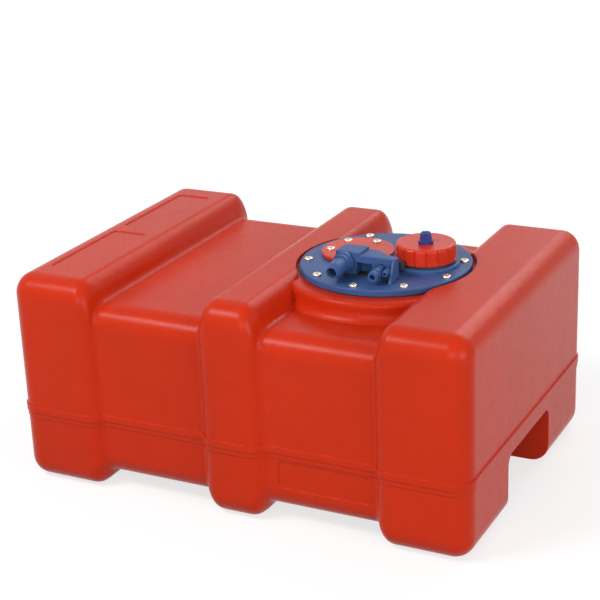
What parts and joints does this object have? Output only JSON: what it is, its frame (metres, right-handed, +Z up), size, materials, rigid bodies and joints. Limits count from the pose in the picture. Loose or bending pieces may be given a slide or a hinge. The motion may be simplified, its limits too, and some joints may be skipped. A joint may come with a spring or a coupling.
{
  "type": "outboard fuel tank",
  "caption": "Portable fuel tank with strap valleys, an underside channel, and a round fitting plate carrying a vented screw cap and hose tails.",
  "frame": {"origin": "on the ground under the middle of the tank's overall box", "axes": "+X along the tank towards the fitting plate's end, +Y away from the hose tails, +Z up"},
  "size_m": [0.5, 0.35, 0.261],
  "materials": {
    "red_polyethylene": "satin rotomoulded polyethylene",
    "red_cap_plastic": "moulded, slightly glossy",
    "blue_plastic": "moulded glass-filled nylon, satin",
    "blue_knob_plastic": "moulded, slightly glossy",
    "screw_steel": "stainless steel, bright",
    "insert_brass": "plain",
    "black_rubber": "matt",
    "hose_rubber": "matt, fuel resistant",
    "strainer_plastic": "natural polyamide"
  },
  "bodies": {
    "tank": {"tank_shell": "red_polyethylene", "collar_inserts": "insert_brass", "plate_gasket": "black_rubber", "fitting_plate": "blue_plastic", "plate_screws": "screw_steel", "sender_inserts": "insert_brass", "sender_gasket": "black_rubber", "sender_cover": "red_cap_plastic", "sender_screws": "screw_steel", "housing_gasket": "black_rubber", "port_housing": "blue_plastic", "housing_screws": "screw_steel", "tail_seals": "black_rubber", "vent_barb": "blue_plastic", "suction_barb": "blue_plastic", "return_barb": "blue_plastic", "suction_hose": "hose_rubber", "hose_clip": "screw_steel", "suction_strainer": "strainer_plastic", "return_pipe": "strainer_plastic"},
    "tether": {"cap_tether": "black_rubber"},
    "seal": {"cap_seal": "black_rubber"},
    "cap": {"filler_cap": "red_cap_plastic"},
    "vent_lift": {"vent_seal": "black_rubber"},
    "vent_screw": {"vent_knob": "blue_knob_plastic", "vent_stem": "screw_steel", "vent_clip": "screw_steel"}
  },
  "joints": [
    {"name": "cap_lift_off", "type": "slide", "parent": "tank", "child": "tether", "axis": [0, 0, 1], "range_m": [0, 0.06]},
    {"name": "cap_rise", "type": "slide", "parent": "tether", "child": "seal", "axis": [0, 0, 1], "range_m": [0, 0.006]},
    {"name": "cap_turn", "type": "hinge", "parent": "seal", "child": "cap", "pos_m": [0.136, 0.006, 0.24], "axis": [0, 0, 1], "range_deg": [0, 540]},
    {"name": "vent_rise", "type": "slide", "parent": "cap", "child": "vent_lift", "axis": [0, 0, 1], "range_m": [0, 0.0015]},
    {"name": "vent_turn", "type": "hinge", "parent": "vent_lift", "child": "vent_screw", "pos_m": [0.136, 0.006, 0.25], "axis": [0, 0, 1], "range_deg": [0, 360]}
  ],
  "couplings": [
    {"joint": "cap_rise", "follows": "cap_turn", "m_per_rad": 0.0006366},
    {"joint": "vent_turn", "follows": "vent_rise", "rad_per_m": 4188}
  ]
}
